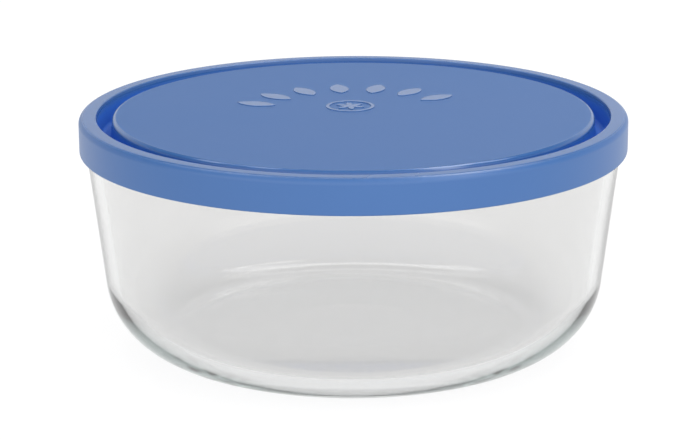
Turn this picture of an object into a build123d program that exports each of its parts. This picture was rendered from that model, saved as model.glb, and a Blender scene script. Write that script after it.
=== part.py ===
from build123d import *

import os
from math import atan, cos, pi, radians, sin, tan

# A round glass food-storage bowl with a one-piece press-on lid, in millimetres.
# +Z is up. The origin is on the axis, at the plane that the foot stands on.
# Both pieces are turned about +Z. The lid's rim channel sits over the bowl's rim: a skirt outside the
# glass and a tapered plug inside it. The plug is the outer wall of a sunken groove round the raised panel.

# ---- driving dimensions: the whole object --------------------------------------------------------
overall_height = 87.0  # foot plane to the top of the lid's ring
lid_radius = 100.0  # outside of the lid's skirt

# ---- driving dimensions: lid ---------------------------------------------------------------------
lid_wall = 1.2  # moulded wall, the same everywhere
skirt_height = 12.6  # ring top to the skirt's lower lip
groove_width = 5.8  # across the mouth of the groove
groove_depth = 9.0  # ring top to the groove's floor
groove_flat = 0.8  # flat left between the rounded corners of the groove's floor
panel_drop = 0.4  # panel's face below the ring top
panel_wall_lean = 0.5  # how far the panel's side leans out over the groove's depth
panel_edge_radius = 1.6
ring_edge_radius = 2.2  # ring's outside edge
ring_lip_radius = 0.5  # ring's edge towards the groove
skirt_lip_radius = 0.5
channel_corner_radius = 0.4  # inside corners of the rim channel
snap_bead_radius = 0.7  # round section of the bead inside the skirt
snap_bead_space = 1.2  # skirt's lower lip to the snap bead's centre
seal_bead_radius = 0.5  # round section of the bead round the plug

# ---- driving dimensions: bowl --------------------------------------------------------------------
rim_wall = 3.0  # glass at the rim
rim_flat = 0.1  # flat left across the rim's top between its rounded edges
rim_band_height = 5.4  # upright band at the rim, above the taper
outer_taper = 0.119  # outside radius gained for each millimetre of height
inner_taper = 0.130  # inside radius gained for each millimetre of height
heel_radius = 28.6  # outside curve from wall to foot
heel_radius_step = 4.1  # the inside curve is this much tighter
floor_height = 5.6  # foot plane to the inside floor
foot_width = 5.8  # flat ring that the bowl stands on
recess_depth = 0.25  # base inside the foot ring, above the foot plane
recess_slope_width = 30.0  # how wide the gentle rise from foot ring to recess is
recess_round = 60.0  # blends the rise into the foot ring and the recess

# ---- clearances between lid and bowl -------------------------------------------------------------
skirt_gap = 0.55  # rim band to the skirt's inside
plug_gap = 0.35  # rim's inside to the plug
seat_gap = 0.2  # rim's top to the underside of the ring
bead_gap = 0.15  # each bead to the glass that it passes

# ---- raised pattern on the panel -----------------------------------------------------------------
relief_height = 0.3
pattern_angle = 98.0  # middle of the pattern, in degrees from +X
leaf_count = 7
leaf_length = 15.0
leaf_width = 7.0
leaf_circle_radius = 38.0
leaf_spacing_angle = 21.0
roundel_radius = 9.0
roundel_line = 1.3
roundel_offset = 8.2  # roundel's centre from the axis
petal_count = 6
petal_length = 5.6
petal_width = 2.2

# ---- lid sizes that follow -----------------------------------------------------------------------
ring_top = overall_height
under_ring = ring_top - lid_wall
skirt_bottom = ring_top - skirt_height
skirt_inner_radius = lid_radius - lid_wall

# ---- bowl sizes that follow ----------------------------------------------------------------------
rim_top = under_ring - seat_gap
rim_outer_radius = skirt_inner_radius - skirt_gap
rim_inner_radius = rim_outer_radius - rim_wall
rim_round = (rim_wall - rim_flat) / 2
taper_top = rim_top - rim_band_height
heel_corner_radius = rim_outer_radius - outer_taper * taper_top
floor_corner_radius = rim_inner_radius - inner_taper * (rim_top - floor_height)

# where the heel's curve meets the foot plane
heel_half_angle = (pi / 2 + atan(outer_taper)) / 2
foot_outer_radius = heel_corner_radius - heel_radius / tan(heel_half_angle)
foot_inner_radius = foot_outer_radius - foot_width
recess_radius = foot_inner_radius - recess_slope_width

# ---- plug, groove and panel, inwards from the rim ------------------------------------------------
plug_radius = rim_inner_radius - plug_gap
groove_outer_radius = plug_radius - lid_wall
panel_radius = groove_outer_radius - groove_width
panel_top = ring_top - panel_drop
under_panel = panel_top - lid_wall
groove_floor = ring_top - groove_depth
under_groove = groove_floor - lid_wall
groove_floor_outer = groove_outer_radius - inner_taper * groove_depth
groove_floor_inner = panel_radius + panel_wall_lean
groove_round = (groove_floor_outer - groove_floor_inner - groove_flat) / 2
under_groove_round = groove_round + lid_wall
snap_bead_height = skirt_bottom + snap_bead_space
seal_bead_height = (under_ring + groove_floor) / 2
plug_radius_at_seal = plug_radius - inner_taper * (under_ring - seal_bead_height)


def round_corner(section, corner, radius):
    """Rounds the section's corner at a point."""
    fillet(section.vertices().sort_by_distance(corner)[0], radius=radius)


def leaf(length, width):
    """A pointed leaf between two arcs, along the local X axis."""
    with BuildSketch(mode=Mode.PRIVATE) as outline:
        with BuildLine():
            ThreePointArc((-length / 2, 0), (0, width / 2), (length / 2, 0))
            ThreePointArc((length / 2, 0), (0, -width / 2), (-length / 2, 0))
        make_face()
    return outline.sketch


# ---- glass bowl: rounded rim, tapered wall, curved heel, foot ring and recessed base -------------
recess_edge = (recess_radius, recess_depth)
foot_inner = (foot_inner_radius, 0)
heel_corner = (heel_corner_radius, 0)
band_bottom = (rim_outer_radius, taper_top)
rim_outside = (rim_outer_radius, rim_top)
rim_inside = (rim_inner_radius, rim_top)
floor_corner = (floor_corner_radius, floor_height)

with BuildPart() as glass_bowl:
    with BuildSketch(Plane.XZ) as bowl_section:
        with BuildLine():
            Polyline(
                (0, recess_depth), recess_edge, foot_inner, heel_corner, band_bottom,
                rim_outside, rim_inside, floor_corner, (0, floor_height), close=True,
            )
        make_face()
        round_corner(bowl_section, recess_edge, recess_round)
        round_corner(bowl_section, foot_inner, recess_round)
        round_corner(bowl_section, heel_corner, heel_radius)
        round_corner(bowl_section, rim_outside, rim_round)
        round_corner(bowl_section, rim_inside, rim_round)
        round_corner(bowl_section, floor_corner, heel_radius - heel_radius_step)
    revolve(axis=Axis.Z)

# ---- lid: panel, groove, ring and skirt, with a snap bead, a seal bead and a raised pattern ------
panel_edge = (panel_radius, panel_top)
groove_inside = (groove_floor_inner, groove_floor)
groove_outside = (groove_floor_outer, groove_floor)
ring_inside = (groove_outer_radius, ring_top)
ring_outside = (lid_radius, ring_top)
lip_outside = (lid_radius, skirt_bottom)
lip_inside = (skirt_inner_radius, skirt_bottom)
channel_outside = (skirt_inner_radius, under_ring)
channel_inside = (plug_radius, under_ring)
plug_outside = (groove_floor_outer + lid_wall, under_groove)
plug_inside = (groove_floor_inner - lid_wall, under_groove)
under_panel_edge = (panel_radius - lid_wall, under_panel)

# each bead's centre lies inside its wall, so that the bead stands proud by its gap less its clearance
snap_bead = (skirt_inner_radius - (skirt_gap - bead_gap) + snap_bead_radius, snap_bead_height)
seal_bead = (plug_radius_at_seal + (plug_gap - bead_gap) - seal_bead_radius, seal_bead_height)

roundel_centre = (
    roundel_offset * cos(radians(pattern_angle)),
    roundel_offset * sin(radians(pattern_angle)),
)
leaf_arc = leaf_spacing_angle * (leaf_count - 1)
first_leaf_angle = pattern_angle - leaf_arc / 2

with BuildPart() as lid:
    with BuildSketch(Plane.XZ) as lid_section:
        with BuildLine():
            Polyline(
                (0, panel_top), panel_edge, groove_inside, groove_outside, ring_inside, ring_outside,
                lip_outside, lip_inside, channel_outside, channel_inside, plug_outside, plug_inside,
                under_panel_edge, (0, under_panel), close=True,
            )
        make_face()
        round_corner(lid_section, panel_edge, panel_edge_radius)
        round_corner(lid_section, groove_inside, groove_round)
        round_corner(lid_section, groove_outside, groove_round)
        round_corner(lid_section, ring_inside, ring_lip_radius)
        round_corner(lid_section, ring_outside, ring_edge_radius)
        round_corner(lid_section, lip_outside, skirt_lip_radius)
        round_corner(lid_section, channel_outside, channel_corner_radius)
        round_corner(lid_section, channel_inside, channel_corner_radius)
        round_corner(lid_section, plug_outside, under_groove_round)
        round_corner(lid_section, plug_inside, under_groove_round)
        round_corner(lid_section, under_panel_edge, channel_corner_radius)
        with Locations(snap_bead):
            Circle(snap_bead_radius)
        with Locations(seal_bead):
            Circle(seal_bead_radius)
    revolve(axis=Axis.Z)
    with BuildSketch(Plane.XY.offset(panel_top)):
        with PolarLocations(leaf_circle_radius, leaf_count, first_leaf_angle, leaf_arc, endpoint=True):
            add(leaf(leaf_length, leaf_width))
        with Locations(roundel_centre):
            Circle(roundel_radius)
            Circle(roundel_radius - roundel_line, mode=Mode.SUBTRACT)
            with PolarLocations(petal_length / 2, petal_count, pattern_angle):
                add(leaf(petal_length, petal_width))
    extrude(amount=relief_height)

# ---- one file for each piece ---------------------------------------------------------------------
os.makedirs("parts", exist_ok=True)
glass_bowl.part.label = "glass_bowl"
export_step(glass_bowl.part, "parts/glass_bowl.step")
lid.part.label = "lid"
export_step(lid.part, "parts/lid.step")
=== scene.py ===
import math

import bpy
from mathutils import Matrix, Vector


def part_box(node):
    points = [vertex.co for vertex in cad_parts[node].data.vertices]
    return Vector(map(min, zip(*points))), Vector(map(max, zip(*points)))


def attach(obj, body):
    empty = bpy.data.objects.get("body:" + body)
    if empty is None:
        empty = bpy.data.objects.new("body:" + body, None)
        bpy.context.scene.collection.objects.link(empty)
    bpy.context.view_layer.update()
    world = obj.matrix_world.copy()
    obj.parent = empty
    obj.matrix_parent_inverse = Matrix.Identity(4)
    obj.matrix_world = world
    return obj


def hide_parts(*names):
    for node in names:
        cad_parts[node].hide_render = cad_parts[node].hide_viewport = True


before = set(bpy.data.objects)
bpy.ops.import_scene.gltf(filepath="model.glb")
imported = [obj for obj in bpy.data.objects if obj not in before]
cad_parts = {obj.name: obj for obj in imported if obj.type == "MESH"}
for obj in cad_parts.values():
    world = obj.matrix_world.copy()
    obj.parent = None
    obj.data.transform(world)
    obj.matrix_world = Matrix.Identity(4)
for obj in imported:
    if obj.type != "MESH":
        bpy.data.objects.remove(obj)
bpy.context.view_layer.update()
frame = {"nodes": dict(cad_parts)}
mm = 0.001
seamGap = 0.001 * mm  # points closer than this become one where a turned shape meets itself
padSeamGap = 0.01 * mm  # the same for the raised pads
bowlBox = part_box("glass_bowl")
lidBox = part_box("lid")
print("frame loaded:", ", ".join(frame["nodes"]))


# a socket that takes part in sums: each operator adds a Math node to its tree
class Wire:
    def __init__(self, tree, node, socket):
        self.tree, self.node, self.socket = tree, node, socket

    def math(self, operation, first, second):
        return self.tree.add("ShaderNodeMath", {"operation": operation}, {0: first, 1: second})

    def __add__(self, other):
        return self.math("ADD", self, other)

    def __radd__(self, other):
        return self.math("ADD", other, self)

    def __sub__(self, other):
        return self.math("SUBTRACT", self, other)

    def __rsub__(self, other):
        return self.math("SUBTRACT", other, self)

    def __mul__(self, other):
        return self.math("MULTIPLY", self, other)

    def __rmul__(self, other):
        return self.math("MULTIPLY", other, self)

    def __truediv__(self, other):
        return self.math("DIVIDE", self, other)

    def __mod__(self, other):
        return self.math("FLOORED_MODULO", self, other)

    def output(self, name):
        return Wire(self.tree, self.node, self.node.outputs[name])


# a node tree for a material or for geometry, to which every node is added the same way
class Tree:
    def __init__(self, nodeTree):
        self.nodeTree = nodeTree

    def add(self, kind, settings=None, inputs=None):
        node = self.nodeTree.nodes.new(kind)
        for name, value in (settings or {}).items():
            setattr(node, name, value)
        for name, value in (inputs or {}).items():
            if isinstance(value, Wire):
                self.nodeTree.links.new(value.socket, node.inputs[name])
            else:
                node.inputs[name].default_value = value
        shown = [socket for socket in node.outputs if socket.enabled]
        return Wire(self, node, shown[0] if shown else None)

    # the end of every geometry tree: real faces, and one material on them
    def finish(self, shape, material):
        whole = self.add("GeometryNodeRealizeInstances", None, {"Geometry": shape})
        done = self.add("GeometryNodeSetMaterial", None, {"Geometry": whole, "Material": material})
        self.add("NodeGroupOutput", None, {"Geometry": done})

    def join(self, parts):
        node = self.nodeTree.nodes.new("GeometryNodeJoinGeometry")
        for part in reversed(parts):
            self.nodeTree.links.new(part.socket, node.inputs[0])
        return Wire(self, node, node.outputs[0])

    # rises smoothly from low to high while the value goes from start to end
    def mask(self, value, start, end, low=0.0, high=1.0):
        return self.add("ShaderNodeMapRange", {"interpolation_type": "SMOOTHSTEP"}, {
            "Value": value, "From Min": start, "From Max": end, "To Min": low, "To Max": high})

    def mixColor(self, factor, first, second):
        return self.add("ShaderNodeMix", {"data_type": "RGBA"}, {"Factor": factor, 6: first, 7: second})


def startMaterial(name):
    material = bpy.data.materials.new(name)
    material.use_nodes = True
    material.node_tree.nodes.clear()
    return material, Tree(material.node_tree)


def startGeometry(name, inputs):
    nodeTree = bpy.data.node_groups.new(name, "GeometryNodeTree")
    nodeTree.interface.new_socket(name="Geometry", in_out="OUTPUT", socket_type="NodeSocketGeometry")
    for label, kind in inputs:
        nodeTree.interface.new_socket(name=label, in_out="INPUT", socket_type=kind)
    tree = Tree(nodeTree)
    return nodeTree, tree, tree.add("NodeGroupInput")


# wavePitch counts the ripples in a metre and waveDepth is in millimetres; the glass takes depthColor
# where it is thick
glassLook = {
    "tint": (0.868, 0.862, 0.860, 1.0),
    "ior": 1.47,
    "depthColor": (0.80, 0.835, 0.83, 1.0),
    "depthDensity": 30.0,
    "wavePitch": 14.0,
    "waveDetail": 2.0,
    "waveRoughness": 0.4,
    "waveHeight": 0.06,
    "waveDepth": 1.0,
}


def makeGlass():
    look = glassLook
    material, tree = startMaterial("clearPressedGlass")
    place = tree.add("ShaderNodeTexCoord").output("Object")
    wave = tree.add(
        "ShaderNodeTexNoise", {"noise_dimensions": "3D"},
        {"Vector": place, "Scale": look["wavePitch"], "Detail": look["waveDetail"],
         "Roughness": look["waveRoughness"]},
    ).output("Fac")
    ripple = tree.add(
        "ShaderNodeBump", None,
        {"Height": wave, "Strength": look["waveHeight"], "Distance": look["waveDepth"] * mm},
    )
    surface = tree.add(
        "ShaderNodeBsdfPrincipled", None,
        {"Base Color": look["tint"], "Roughness": 0.0, "IOR": look["ior"],
         "Transmission Weight": 1.0, "Normal": ripple},
    )
    body = tree.add(
        "ShaderNodeVolumeAbsorption", None,
        {"Color": look["depthColor"], "Density": look["depthDensity"]},
    )
    tree.add("ShaderNodeOutputMaterial", None, {"Surface": surface, "Volume": body})
    return material


# all in millimetres except around, which counts the faces in one turn
lidSizes = {
    "around": 288,
    "wall": 1.2,
    "grooveWidth": 5.8,
    "grooveDepth": 9.0,
    "grooveLean": 1.17,
    "grooveRound": 1.6,
    "panelDrop": 0.4,
    "panelLean": 0.5,
    "panelEdge": 1.6,
    "ringWidth": 6.3,
    "ringEdge": 2.2,
    "ringLip": 0.5,
    "skirtLip": 0.5,
    "insideCorner": 0.4,
    "snapBead": 0.5,
    "snapBeadUp": 1.2,
    "snapBeadHalf": 0.75,
    "snapBeadRound": 0.7,
    "sealBead": 0.26,
    "sealBeadHalf": 0.6,
    "sealBeadRound": 0.5,
    "beadFoot": 0.1,
    "lipInside": 0.2,
}

# the deep and skirt values are millimetres below the ring's top, and ringToPanel is how wide the
# change from the ring's gloss to the panel's is; the pitches count the spots in a metre
plasticLook = {
    "blue": (0.040, 0.122, 0.328, 1.0),
    "paleBlue": (0.045, 0.131, 0.342, 1.0),
    # painted bounce light: the richer blue the groove gets below deepFrom, standing in for light
    # bouncing between its walls
    "paintedBounceBlue": (0.030, 0.160, 0.600, 1.0),
    "ior": 1.5,
    "deepFrom": 0.6,
    "deepTo": 4.0,
    "ringToPanel": 0.3,
    "edgeShare": 0.7,
    "skirtFrom": 0.1,
    "skirtTo": 0.5,
    "cloudPitch": 18.0,
    "cloudDetail": 3.0,
    "cloudRough": 0.08,
    "panelRough": 0.54,
    "ringRough": 0.26,
    "reliefRough": 0.16,
    "edgeRough": 0.15,
    "skirtRough": 0.38,
    "grainPitch": 1400.0,
    "grainDetail": 2.0,
    "grainHeight": 0.12,
    "grainDepth": 0.05,
}


# the ring, panel, panel's edge, groove and skirt of the one moulding each have their own gloss, and the
# groove also gets painted bounce light: a richer blue that stands in for the light bouncing between its
# walls
def makePlastic(name, panelRough):
    look = plasticLook
    material, tree = startMaterial(name)
    place = tree.add("ShaderNodeTexCoord").output("Object")
    cloud = tree.add(
        "ShaderNodeTexNoise", {"noise_dimensions": "3D"},
        {"Vector": place, "Scale": look["cloudPitch"], "Detail": look["cloudDetail"], "Roughness": 0.5},
    ).output("Fac")
    grain = tree.add(
        "ShaderNodeTexNoise", {"noise_dimensions": "3D"},
        {"Vector": place, "Scale": look["grainPitch"], "Detail": look["grainDetail"], "Roughness": 0.6},
    ).output("Fac")
    spot = tree.add("ShaderNodeSeparateXYZ", None, {0: place})
    across = spot.output("X") * spot.output("X") + spot.output("Y") * spot.output("Y")
    out = tree.add("ShaderNodeMath", {"operation": "SQRT"}, {0: across})
    down = lidBox[1][2] - spot.output("Z")
    ringInner = lidBox[1][0] - lidSizes["ringWidth"] * mm
    panelEdge = ringInner - lidSizes["grooveWidth"] * mm
    edgeReach = look["edgeShare"] * lidSizes["panelEdge"] * mm
    onPanel = tree.mask(out, ringInner, ringInner - look["ringToPanel"] * mm)
    inGroove = onPanel * tree.mask(down, look["deepFrom"] * mm, look["deepTo"] * mm)
    onEdge = (onPanel - inGroove) * tree.mask(
        out, panelEdge - lidSizes["panelEdge"] * mm, panelEdge - edgeReach)
    onSkirt = tree.mask(down, look["skirtFrom"] * mm, look["skirtTo"] * mm) * (1 - onPanel)
    color = tree.mixColor(cloud, look["blue"], look["paleBlue"])
    # painted bounce light: the groove turns a richer blue where light would bounce between its walls
    color = tree.mixColor(inGroove, color, look["paintedBounceBlue"])
    roughness = (
        look["ringRough"] + onPanel * (panelRough - look["ringRough"])
        + onEdge * (look["edgeRough"] - panelRough) + onSkirt * (look["skirtRough"] - look["ringRough"])
        + (cloud - 0.5) * look["cloudRough"]
    )
    bump = tree.add(
        "ShaderNodeBump", None,
        {"Height": grain, "Strength": look["grainHeight"], "Distance": look["grainDepth"] * mm},
    )
    surface = tree.add(
        "ShaderNodeBsdfPrincipled", None,
        {"Base Color": color, "Roughness": roughness, "IOR": look["ior"], "Normal": bump},
    )
    tree.add("ShaderNodeOutputMaterial", None, {"Surface": surface})
    return material


# the profile runs from the axis out and back to it; each corner has its own round, and the tree turns it
def makeLatheTree():
    nodeTree, tree, given = startGeometry("turnProfile", [
        ("Geometry", "NodeSocketGeometry"),
        ("Around", "NodeSocketInt"),
        ("Finish", "NodeSocketMaterial"),
    ])
    line = tree.add("GeometryNodeMeshToCurve", None, {"Mesh": given.output("Geometry")})
    cornerRound = tree.add(
        "GeometryNodeInputNamedAttribute", {"data_type": "FLOAT"}, {"Name": "cornerRound"})
    cornerSteps = tree.add(
        "GeometryNodeInputNamedAttribute", {"data_type": "INT"}, {"Name": "cornerSteps"})
    profile = tree.add(
        "GeometryNodeFilletCurve", {"mode": "POLY"},
        {"Curve": line, "Count": cornerSteps, "Radius": cornerRound, "Limit Radius": True},
    )
    steps = tree.add("GeometryNodeAttributeDomainSize", {"component": "CURVE"}, {"Geometry": profile})
    stations = given.output("Around") + 1
    grid = tree.add("GeometryNodeMeshGrid", None, {
        "Vertices X": steps.output("Point Count"), "Vertices Y": stations})
    index = tree.add("GeometryNodeInputIndex")
    column = index % stations
    row = (index - column) / stations
    onProfile = tree.add(
        "GeometryNodeSampleIndex", {"data_type": "FLOAT_VECTOR", "domain": "POINT"},
        {"Geometry": profile, "Value": tree.add("GeometryNodeInputPosition"), "Index": row},
    )
    turn = column * (2 * math.pi) / given.output("Around")
    point = tree.add("ShaderNodeSeparateXYZ", None, {0: onProfile})
    radius = point.output("X")
    spot = tree.add("ShaderNodeCombineXYZ", None, {
        "X": radius * tree.add("ShaderNodeMath", {"operation": "COSINE"}, {0: turn}),
        "Y": radius * tree.add("ShaderNodeMath", {"operation": "SINE"}, {0: turn}),
        "Z": point.output("Z"),
    })
    turned = tree.add("GeometryNodeSetPosition", None, {"Geometry": grid, "Position": spot})
    closed = tree.add("GeometryNodeMergeByDistance", None, {"Geometry": turned, "Distance": seamGap})
    outward = tree.add("GeometryNodeFlipFaces", None, {"Mesh": closed})
    smooth = tree.add("GeometryNodeSetShadeSmooth", None, {"Geometry": outward})
    tree.finish(smooth, given.output("Finish"))
    return nodeTree


def setInput(modifier, name, value):
    for item in modifier.node_group.interface.items_tree:
        if item.item_type == "SOCKET" and item.in_out == "INPUT" and item.name == name:
            modifier[item.identifier] = value


# keeps the flat faces flat, and puts a plain mesh in the place of an object with live modifiers
def makePlain(source, name):
    flats = source.modifiers.new("keepFlats", "WEIGHTED_NORMAL")
    flats.weight = 100
    evaluated = source.evaluated_get(bpy.context.evaluated_depsgraph_get())
    solid = bpy.data.meshes.new_from_object(evaluated)
    solid.name = name
    piece = bpy.data.objects.new(name, solid)
    bpy.context.scene.collection.objects.link(piece)
    bpy.data.objects.remove(source)
    return piece


# turns a list of (radius, height, round, steps) in millimetres into a closed solid of revolution
def turnPiece(name, corners, around, material, latheTree):
    mesh = bpy.data.meshes.new(name + "Profile")
    points = [(radius * mm, 0.0, height * mm) for radius, height, _, _ in corners]
    mesh.from_pydata(points, [(i, i + 1) for i in range(len(points) - 1)], [])
    rounds = mesh.attributes.new("cornerRound", "FLOAT", "POINT")
    steps = mesh.attributes.new("cornerSteps", "INT", "POINT")
    for i, (_, _, cornerRound, cornerSteps) in enumerate(corners):
        rounds.data[i].value = cornerRound * mm
        steps.data[i].value = cornerSteps
    profile = bpy.data.objects.new(name + "Profile", mesh)
    bpy.context.scene.collection.objects.link(profile)
    lathe = profile.modifiers.new("turn", "NODES")
    lathe.node_group = latheTree
    setInput(lathe, "Around", around)
    setInput(lathe, "Finish", material)
    return makePlain(profile, name)


latheTree = makeLatheTree()
glass = makeGlass()
plastic = makePlastic("blueMouldedPlastic", plasticLook["panelRough"])
polished = makePlastic("bluePolishedRelief", plasticLook["reliefRough"])
print("materials ready")

# all in millimetres except around and the tapers, which are radius for each millimetre of height
bowlSizes = {
    "around": 288,
    "rimWall": 3.0,
    "rimRound": 1.45,
    "rimBand": 5.4,
    "bandRound": 6.0,
    "outerTaper": 0.119,
    "innerTaper": 0.130,
    "heelRound": 28.6,
    "innerHeelRound": 24.5,
    "floorHeight": 5.6,
    "footWidth": 5.8,
    "recessDepth": 0.25,
    "recessSlope": 30.0,
    "recessRound": 60.0,
}


def bowlCorners(sizes):
    rimRadius = bowlBox[1][0] / mm
    rimTop = bowlBox[1][2] / mm
    bandBottom = rimTop - sizes["rimBand"]
    heelCorner = rimRadius - sizes["outerTaper"] * bandBottom
    halfAngle = (math.pi / 2 + math.atan(sizes["outerTaper"])) / 2
    footInner = heelCorner - sizes["heelRound"] / math.tan(halfAngle) - sizes["footWidth"]
    inside = rimRadius - sizes["rimWall"]
    floorCorner = inside - sizes["innerTaper"] * (rimTop - sizes["floorHeight"])
    return [
        (0, sizes["recessDepth"], 0, 1),
        (footInner - sizes["recessSlope"], sizes["recessDepth"], sizes["recessRound"], 4),
        (footInner, 0, sizes["recessRound"], 4),
        (heelCorner, 0, sizes["heelRound"], 28),
        (rimRadius, bandBottom, sizes["bandRound"], 4),
        (rimRadius, rimTop, sizes["rimRound"], 10),
        (inside, rimTop, sizes["rimRound"], 10),
        (floorCorner, sizes["floorHeight"], sizes["innerHeelRound"], 28),
        (0, sizes["floorHeight"], 0, 1),
    ]


glassBowl = turnPiece("glassBowl", bowlCorners(bowlSizes), bowlSizes["around"], glass, latheTree)
print("bowl turned:", len(glassBowl.data.polygons), "faces")


def lidCorners(sizes):
    outside = lidBox[1][0] / mm
    ringTop = lidBox[1][2] / mm
    skirtBottom = lidBox[0][2] / mm
    wall = sizes["wall"]
    ringInner = outside - sizes["ringWidth"]
    panelRadius = ringInner - sizes["grooveWidth"]
    panelTop = ringTop - sizes["panelDrop"]
    grooveFloor = ringTop - sizes["grooveDepth"]
    grooveOuter = ringInner - sizes["grooveLean"]
    grooveInner = panelRadius + sizes["panelLean"]
    underRound = sizes["grooveRound"] + wall
    sealUp = (ringTop - wall + grooveFloor) / 2
    sealHalf = sizes["sealBeadHalf"]
    snapUp = skirtBottom + sizes["snapBeadUp"]
    snapHalf = sizes["snapBeadHalf"]
    beadFoot = sizes["beadFoot"]

    # the plug leans in as it goes down, and the seal bead rides on it
    def plugAt(height):
        return ringInner + wall - sizes["grooveLean"] * (ringTop - wall - height) / sizes["grooveDepth"]

    return [
        (0, panelTop - wall, 0, 1),
        (panelRadius - wall, panelTop - wall, sizes["insideCorner"], 4),
        (grooveInner - wall, grooveFloor - wall, underRound, 8),
        (grooveOuter + wall, grooveFloor - wall, underRound, 8),
        (plugAt(sealUp - sealHalf), sealUp - sealHalf, beadFoot, 2),
        (plugAt(sealUp) + sizes["sealBead"], sealUp, sizes["sealBeadRound"], 6),
        (plugAt(sealUp + sealHalf), sealUp + sealHalf, beadFoot, 2),
        (ringInner + wall, ringTop - wall, sizes["insideCorner"], 4),
        (outside - wall, ringTop - wall, sizes["insideCorner"], 4),
        (outside - wall, snapUp + snapHalf, beadFoot, 2),
        (outside - wall - sizes["snapBead"], snapUp, sizes["snapBeadRound"], 6),
        (outside - wall, snapUp - snapHalf, beadFoot, 2),
        (outside - wall, skirtBottom, sizes["lipInside"], 3),
        (outside, skirtBottom, sizes["skirtLip"], 5),
        (outside, ringTop, sizes["ringEdge"], 10),
        (ringInner, ringTop, sizes["ringLip"], 6),
        (grooveOuter, grooveFloor, sizes["grooveRound"], 8),
        (grooveInner, grooveFloor, sizes["grooveRound"], 8),
        (panelRadius, panelTop, sizes["panelEdge"], 8),
        (0, panelTop, 0, 1),
    ]


lid = turnPiece("lid_moulding", lidCorners(lidSizes), lidSizes["around"], plastic, latheTree)
print("lid turned:", len(lid.data.polygons), "faces")


# in millimetres and degrees; the pads and the roundel start a little inside the panel
reliefSizes = {
    "height": 0.3,
    "sunk": 0.1,
    "edgeRound": 0.1,
    "edgeSteps": 3,
    "sharpAngle": 40.0,
    "padSteps": 17,
    "ringSteps": 96,
    "middleAngle": 98.0,
    "leafCount": 7,
    "leafLength": 15.0,
    "leafWidth": 7.0,
    "leafCircle": 38.0,
    "leafSpacing": 21.0,
    "roundelRadius": 9.0,
    "roundelLine": 1.3,
    "roundelOffset": 8.2,
    "petalCount": 6,
    "petalLength": 5.6,
    "petalWidth": 2.2,
}


# pads of one thickness, each pointed at both ends, set round an arc
def makePadTree():
    nodeTree, tree, given = startGeometry("raisedPads", [
        ("Count", "NodeSocketInt"),
        ("Length", "NodeSocketFloat"),
        ("Width", "NodeSocketFloat"),
        ("Thickness", "NodeSocketFloat"),
        ("Centre", "NodeSocketVector"),
        ("Circle", "NodeSocketFloat"),
        ("First Angle", "NodeSocketFloat"),
        ("Spacing", "NodeSocketFloat"),
        ("Finish", "NodeSocketMaterial"),
    ])
    tip = given.output("Length") * 0.5
    bulge = given.output("Width") * 0.5
    sides = []
    for side in (1, -1):  # the two arcs of a pad's outline
        sides.append(tree.add("GeometryNodeCurveArc", {"mode": "POINTS"}, {
            "Resolution": reliefSizes["padSteps"],
            "Start": tree.add("ShaderNodeCombineXYZ", None, {"X": tip * -1}),
            "Middle": tree.add("ShaderNodeCombineXYZ", None, {"Y": bulge * side}),
            "End": tree.add("ShaderNodeCombineXYZ", None, {"X": tip}),
        }))
    outline = tree.join([tree.add("GeometryNodeCurveToMesh", None, {"Curve": side}) for side in sides])
    welded = tree.add("GeometryNodeMergeByDistance", None, {"Geometry": outline, "Distance": padSeamGap})
    loop = tree.add("GeometryNodeMeshToCurve", None, {"Mesh": welded})
    sole = tree.add("GeometryNodeFillCurve", {"mode": "NGONS"}, {"Curve": loop})
    top = tree.add("GeometryNodeExtrudeMesh", {"mode": "FACES"}, {
        "Mesh": sole, "Offset": (0.0, 0.0, 1.0), "Offset Scale": given.output("Thickness"),
        "Individual": False,
    })
    pad = tree.join([top, tree.add("GeometryNodeFlipFaces", None, {"Mesh": sole})])
    pad = tree.add("GeometryNodeMergeByDistance", None, {"Geometry": pad, "Distance": padSeamGap})
    angle = given.output("First Angle") + tree.add("GeometryNodeInputIndex") * given.output("Spacing")
    reach = given.output("Circle")
    spot = tree.add("ShaderNodeVectorMath", {"operation": "ADD"}, {
        0: given.output("Centre"),
        1: tree.add("ShaderNodeCombineXYZ", None, {
            "X": reach * tree.add("ShaderNodeMath", {"operation": "COSINE"}, {0: angle}),
            "Y": reach * tree.add("ShaderNodeMath", {"operation": "SINE"}, {0: angle}),
        }),
    })
    places = tree.add("GeometryNodePoints", None, {"Count": given.output("Count"), "Position": spot})
    copies = tree.add("GeometryNodeInstanceOnPoints", None, {
        "Points": places, "Instance": pad,
        "Rotation": tree.add("ShaderNodeCombineXYZ", None, {"Z": angle}),
    })
    tree.finish(copies, given.output("Finish"))
    return nodeTree


# a flat ring with a square section
def makeRoundelTree():
    nodeTree, tree, given = startGeometry("raisedRoundel", [
        ("Radius", "NodeSocketFloat"),
        ("Line", "NodeSocketFloat"),
        ("Thickness", "NodeSocketFloat"),
        ("Centre", "NodeSocketVector"),
        ("Finish", "NodeSocketMaterial"),
    ])
    path = tree.add("GeometryNodeCurvePrimitiveCircle", None, {
        "Resolution": reliefSizes["ringSteps"],
        "Radius": given.output("Radius") - given.output("Line") * 0.5,
    })
    section = tree.add("GeometryNodeCurvePrimitiveQuadrilateral", None, {
        "Width": given.output("Line"), "Height": given.output("Thickness")})
    ring = tree.add("GeometryNodeCurveToMesh", None, {"Curve": path, "Profile Curve": section})
    lift = tree.add("ShaderNodeCombineXYZ", None, {"Z": given.output("Thickness") * 0.5})
    place = tree.add("ShaderNodeVectorMath", {"operation": "ADD"}, {0: given.output("Centre"), 1: lift})
    moved = tree.add("GeometryNodeTransform", None, {"Geometry": ring, "Translation": place})
    tree.finish(moved, given.output("Finish"))
    return nodeTree


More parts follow.
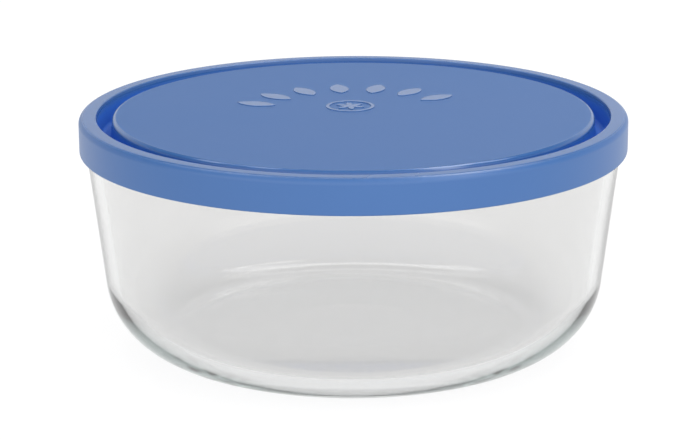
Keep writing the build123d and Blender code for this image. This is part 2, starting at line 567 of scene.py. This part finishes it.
# grows a piece from a tree alone, then rounds the edges that its top leaves sharp
def growPiece(name, nodeTree, values, edgeRound):
    seed = bpy.data.objects.new(name + "Seed", bpy.data.meshes.new(name + "Seed"))
    bpy.context.scene.collection.objects.link(seed)
    grower = seed.modifiers.new("grow", "NODES")
    grower.node_group = nodeTree
    for label, value in values.items():
        setInput(grower, label, value)
    edges = seed.modifiers.new("softenEdges", "BEVEL")
    edges.width = edgeRound * mm
    edges.segments = reliefSizes["edgeSteps"]
    edges.limit_method = "ANGLE"
    edges.angle_limit = math.radians(reliefSizes["sharpAngle"])
    return makePlain(seed, name)


def makeRelief(sizes):
    sole = lidBox[1][2] - (lidSizes["panelDrop"] + sizes["sunk"]) * mm
    middle = math.radians(sizes["middleAngle"])
    hub = sizes["roundelOffset"] * mm
    roundelSpot = (hub * math.cos(middle), hub * math.sin(middle), sole)
    thickness = (sizes["height"] + sizes["sunk"]) * mm
    spacing = math.radians(sizes["leafSpacing"])
    padTree = makePadTree()
    leaves = growPiece("raisedLeaves", padTree, {
        "Count": sizes["leafCount"],
        "Length": sizes["leafLength"] * mm,
        "Width": sizes["leafWidth"] * mm,
        "Thickness": thickness,
        "Centre": (0.0, 0.0, sole),
        "Circle": sizes["leafCircle"] * mm,
        "First Angle": middle - spacing * (sizes["leafCount"] - 1) / 2,
        "Spacing": spacing,
        "Finish": polished,
    }, sizes["edgeRound"])
    petals = growPiece("raisedPetals", padTree, {
        "Count": sizes["petalCount"],
        "Length": sizes["petalLength"] * mm,
        "Width": sizes["petalWidth"] * mm,
        "Thickness": thickness,
        "Centre": roundelSpot,
        "Circle": sizes["petalLength"] / 2 * mm,
        "First Angle": middle,
        "Spacing": 2 * math.pi / sizes["petalCount"],
        "Finish": polished,
    }, sizes["edgeRound"])
    roundel = growPiece("raisedRoundel", makeRoundelTree(), {
        "Radius": sizes["roundelRadius"] * mm,
        "Line": sizes["roundelLine"] * mm,
        "Thickness": thickness,
        "Centre": roundelSpot,
        "Finish": polished,
    }, sizes["edgeRound"])
    return [leaves, petals, roundel]


relief = makeRelief(reliefSizes)
print("raised pattern made:", sum(len(piece.data.polygons) for piece in relief), "faces")

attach(glassBowl, "bowl")
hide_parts("glass_bowl")
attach(lid, "lid")
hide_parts("lid")
for piece in relief:
    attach(piece, "lid")

# floorSize is in metres and floorDrop in millimetres; the ranges are parts of a direction of length 1
studio = {
    "floorSize": 12.0,
    "floorColor": (0.13, 0.13, 0.13, 1.0),
    "floorDrop": 0.05,
    "floorGlow": 0.92,
    "horizon": 0.88,
    "overhead": 0.03,
    "rise": (0.30, 0.62),
    "frontFill": 1.15,
    "frontEdge": (-0.05, 0.50),
    "sideDim": 0.25,
    "sideEdge": (0.60, 0.95),
    "bandLow": (0.755, 0.780),
    "bandHigh": (0.850, 0.825),
    "bandBack": (0.0, 0.2),
    "bandGlow": 4.2,
}


# a level floor just under the foot ring, so that the two never lie in one plane
def makeFloor():
    material, tree = startMaterial("paleFloor")
    surface = tree.add("ShaderNodeBsdfPrincipled", None, {
        "Base Color": studio["floorColor"], "Roughness": 1.0, "Specular IOR Level": 0.0,
        "Emission Color": (1.0, 1.0, 1.0, 1.0), "Emission Strength": studio["floorGlow"],
    })
    tree.add("ShaderNodeOutputMaterial", None, {"Surface": surface})
    half = studio["floorSize"] / 2
    level = -studio["floorDrop"] * mm
    mesh = bpy.data.meshes.new("floor")
    corners = [(-half, -half, level), (half, -half, level), (half, half, level), (-half, half, level)]
    mesh.from_pydata(corners, [], [(0, 1, 2, 3)])
    mesh.materials.append(material)
    floor = bpy.data.objects.new("floor", mesh)
    bpy.context.scene.collection.objects.link(floor)


# a room that is bright at the horizon and in front, dim overhead, with a bright band high at the back
def makeWorld():
    world = bpy.data.worlds.new("studio")
    world.use_nodes = True
    world.node_tree.nodes.clear()
    tree = Tree(world.node_tree)
    direction = tree.add("ShaderNodeTexCoord").output("Generated")
    split = tree.add("ShaderNodeSeparateXYZ", None, {0: direction})
    height = split.output("Z")
    toBack = split.output("Y")
    sideways = tree.add("ShaderNodeMath", {"operation": "ABSOLUTE"}, {0: split.output("X")})
    room = tree.mask(height, *studio["rise"], studio["horizon"], studio["overhead"])
    front = tree.mask(toBack * -1, *studio["frontEdge"], 0.0, studio["frontFill"])
    sides = tree.mask(sideways, *studio["sideEdge"], 0.0, studio["sideDim"])
    band = tree.mask(height, *studio["bandLow"]) * tree.mask(height, *studio["bandHigh"])
    band = band * tree.mask(toBack, *studio["bandBack"], 0.0, studio["bandGlow"])
    glow = tree.add("ShaderNodeBackground", None, {
        "Color": (1.0, 1.0, 1.0, 1.0), "Strength": room + front + band - sides})
    tree.add("ShaderNodeOutputWorld", None, {"Surface": glow})
    bpy.context.scene.world = world


# one end and the other in metres, then the width in metres and the power in watts
strips = {
    "keyStrip": ((0.445, -0.196, 0.99), (0.188, 0.54, 0.857), 0.2, 2.9),
    "frontStrip": ((0.42, -0.19, 0.93), (0.62, -0.64, 0.46), 0.16, 1.4),
    "fillStrip": ((-0.36, 0.0, 0.95), (-0.25, 0.35, 0.95), 0.1, 0.6),
}


# a soft strip between two ends, facing the object
def makeStrip(name, start, end, width, power):
    start, end = Vector(start), Vector(end)
    middle = (start + end) / 2
    along = (end - start).normalized()
    away = (middle - along * middle.dot(along)).normalized()
    data = bpy.data.lights.new(name, "AREA")
    data.shape = "RECTANGLE"
    data.size = (end - start).length
    data.size_y = width
    data.energy = power
    light = bpy.data.objects.new(name, data)
    light.location = middle
    light.rotation_euler = Matrix((along, away.cross(along), away)).transposed().to_euler()
    bpy.context.scene.collection.objects.link(light)


# millimetres for the lens and the sensor, metres for the place, degrees for the turns
view = {
    "lens": 124.38,
    "sensor": 36.0,
    "back": 0.86233,
    "up": 0.28563,
    "tiltDown": 15.567,
    "turn": 0.092,
    "roll": -0.24,
}


bounces = {"all": 28, "glossy": 24, "transmission": 28}


# the camera looks down on the object from in front
def makeCamera():
    data = bpy.data.cameras.new("camera")
    data.lens = view["lens"]
    data.sensor_width = view["sensor"]
    camera = bpy.data.objects.new("camera", data)
    camera.location = (0.0, -view["back"], view["up"])
    swing = Matrix.Rotation(math.radians(view["turn"]), 3, "Z")
    tilt = Matrix.Rotation(math.radians(90 - view["tiltDown"]), 3, "X")
    roll = Matrix.Rotation(math.radians(view["roll"]), 3, "Z")
    camera.rotation_euler = (swing @ tilt @ roll).to_euler()
    bpy.context.scene.collection.objects.link(camera)
    bpy.context.scene.camera = camera


makeFloor()
makeWorld()
for name, strip in strips.items():
    makeStrip(name, *strip)
makeCamera()
bpy.context.scene.view_settings.view_transform = "Standard"
lightPaths = bpy.context.scene.cycles  # light goes a long way round inside the glass
lightPaths.max_bounces = bounces["all"]
lightPaths.glossy_bounces = bounces["glossy"]
lightPaths.transmission_bounces = bounces["transmission"]
print("studio ready")
